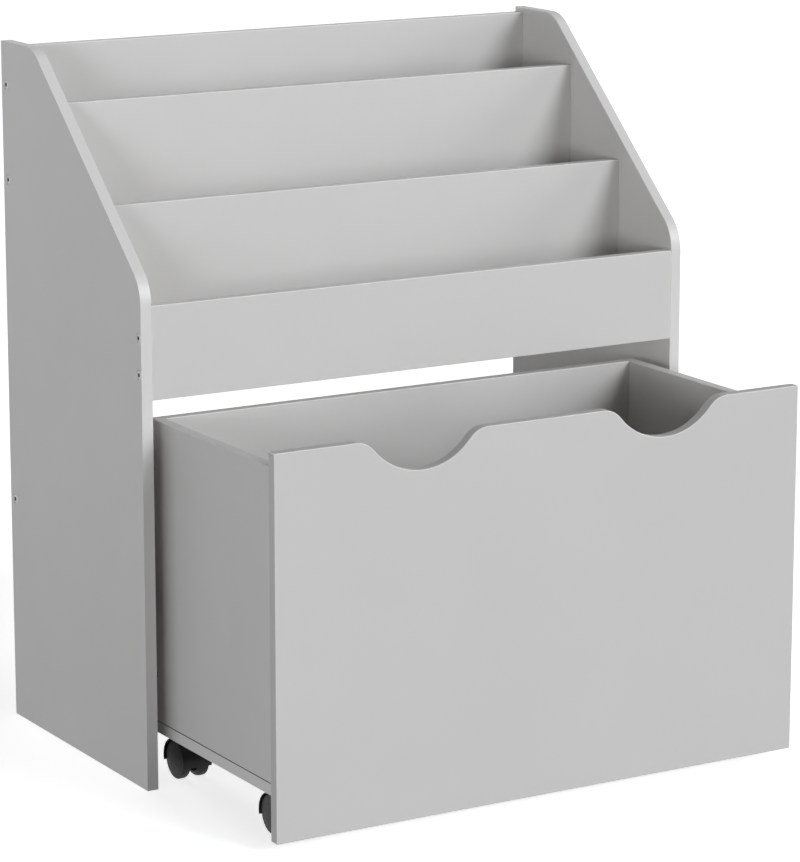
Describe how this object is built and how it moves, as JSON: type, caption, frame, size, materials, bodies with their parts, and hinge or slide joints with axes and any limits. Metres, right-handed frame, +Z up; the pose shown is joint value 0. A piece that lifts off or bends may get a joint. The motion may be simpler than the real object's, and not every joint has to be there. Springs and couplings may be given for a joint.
{
  "type": "toy storage organizer",
  "caption": "Free-standing children's bookcase in grey board with stepped book pockets over an open bay, and a toy box with a scooped front that rolls in and out on casters.",
  "frame": {"origin": "on the floor, midway between the side panels and midway between the box front at rest and the back edges of the side panels", "axes": "+Z up, +Y towards the back of the bookcase, +X to the right of someone facing it"},
  "size_m": [0.64, 0.549, 0.724],
  "materials": {
    "grey_paint": "board with satin light grey paint on faces and edges",
    "beech": "plain turned beech",
    "zinc_steel": "bright zinc plate",
    "zinc_cast": "dull zinc casting",
    "black_nylon": "moulded black nylon with a fine grain",
    "black_tread": "hard black nylon, satin and slightly scuffed on the tread"
  },
  "bodies": {
    "frame": {"left_side_panel": "grey_paint", "right_side_panel": "grey_paint", "front_board": "grey_paint", "front_divider": "grey_paint", "rear_divider": "grey_paint", "back_board": "grey_paint", "lower_back_rail": "grey_paint", "front_pocket_floor": "grey_paint", "middle_pocket_floor": "grey_paint", "rear_pocket_floor": "grey_paint", "frame_screws": "zinc_steel", "frame_dowels": "beech"},
    "toy_box": {"box_front": "grey_paint", "box_left_side": "grey_paint", "box_right_side": "grey_paint", "box_back": "grey_paint", "box_bottom": "grey_paint", "box_screws": "zinc_steel", "box_dowels": "beech", "cam_bolts": "zinc_steel", "cam_discs": "zinc_cast", "kingpin_clips": "zinc_steel", "caster_screws": "zinc_steel", "front_left_caster_plate": "zinc_steel", "front_left_caster_kingpin": "zinc_steel", "front_right_caster_plate": "zinc_steel", "front_right_caster_kingpin": "zinc_steel", "rear_left_caster_plate": "zinc_steel", "rear_left_caster_kingpin": "zinc_steel", "rear_right_caster_plate": "zinc_steel", "rear_right_caster_kingpin": "zinc_steel"},
    "front_left_caster": {"front_left_caster_hood": "black_nylon", "front_left_caster_axle": "zinc_steel"},
    "front_left_outer_wheel": {"front_left_outer_wheel": "black_tread"},
    "front_left_inner_wheel": {"front_left_inner_wheel": "black_tread"},
    "front_right_caster": {"front_right_caster_hood": "black_nylon", "front_right_caster_axle": "zinc_steel"},
    "front_right_outer_wheel": {"front_right_outer_wheel": "black_tread"},
    "front_right_inner_wheel": {"front_right_inner_wheel": "black_tread"},
    "rear_left_caster": {"rear_left_caster_hood": "black_nylon", "rear_left_caster_axle": "zinc_steel"},
    "rear_left_outer_wheel": {"rear_left_outer_wheel": "black_tread"},
    "rear_left_inner_wheel": {"rear_left_inner_wheel": "black_tread"},
    "rear_right_caster": {"rear_right_caster_hood": "black_nylon", "rear_right_caster_axle": "zinc_steel"},
    "rear_right_outer_wheel": {"rear_right_outer_wheel": "black_tread"},
    "rear_right_inner_wheel": {"rear_right_inner_wheel": "black_tread"}
  },
  "joints": [
    {"name": "box_roll", "type": "slide", "parent": "frame", "child": "toy_box", "axis": [0, -1, 0], "range_m": [-0.237, 0.163]},
    {"name": "caster_swivel_front_left", "type": "hinge", "parent": "toy_box", "child": "front_left_caster", "pos_m": [-0.2625, -0.2235, 0.037], "axis": [0, 0, 1], "continuous": true},
    {"name": "caster_swivel_front_right", "type": "hinge", "parent": "toy_box", "child": "front_right_caster", "pos_m": [0.2625, -0.2235, 0.037], "axis": [0, 0, 1], "continuous": true},
    {"name": "caster_swivel_rear_left", "type": "hinge", "parent": "toy_box", "child": "rear_left_caster", "pos_m": [-0.2625, -0.0205, 0.037], "axis": [0, 0, 1], "continuous": true},
    {"name": "caster_swivel_rear_right", "type": "hinge", "parent": "toy_box", "child": "rear_right_caster", "pos_m": [0.2625, -0.0205, 0.037], "axis": [0, 0, 1], "continuous": true},
    {"name": "wheel_spin_front_left_outer", "type": "hinge", "parent": "front_left_caster", "child": "front_left_outer_wheel", "pos_m": [-0.2625, -0.217, 0.02], "axis": [1, 0, 0], "continuous": true},
    {"name": "wheel_spin_front_left_inner", "type": "hinge", "parent": "front_left_caster", "child": "front_left_inner_wheel", "pos_m": [-0.2625, -0.217, 0.02], "axis": [1, 0, 0], "continuous": true},
    {"name": "wheel_spin_front_right_outer", "type": "hinge", "parent": "front_right_caster", "child": "front_right_outer_wheel", "pos_m": [0.2625, -0.217, 0.02], "axis": [1, 0, 0], "continuous": true},
    {"name": "wheel_spin_front_right_inner", "type": "hinge", "parent": "front_right_caster", "child": "front_right_inner_wheel", "pos_m": [0.2625, -0.217, 0.02], "axis": [1, 0, 0], "continuous": true},
    {"name": "wheel_spin_rear_left_outer", "type": "hinge", "parent": "rear_left_caster", "child": "rear_left_outer_wheel", "pos_m": [-0.2625, -0.014, 0.02], "axis": [1, 0, 0], "continuous": true},
    {"name": "wheel_spin_rear_left_inner", "type": "hinge", "parent": "rear_left_caster", "child": "rear_left_inner_wheel", "pos_m": [-0.2625, -0.014, 0.02], "axis": [1, 0, 0], "continuous": true},
    {"name": "wheel_spin_rear_right_outer", "type": "hinge", "parent": "rear_right_caster", "child": "rear_right_outer_wheel", "pos_m": [0.2625, -0.014, 0.02], "axis": [1, 0, 0], "continuous": true},
    {"name": "wheel_spin_rear_right_inner", "type": "hinge", "parent": "rear_right_caster", "child": "rear_right_inner_wheel", "pos_m": [0.2625, -0.014, 0.02], "axis": [1, 0, 0], "continuous": true}
  ]
}
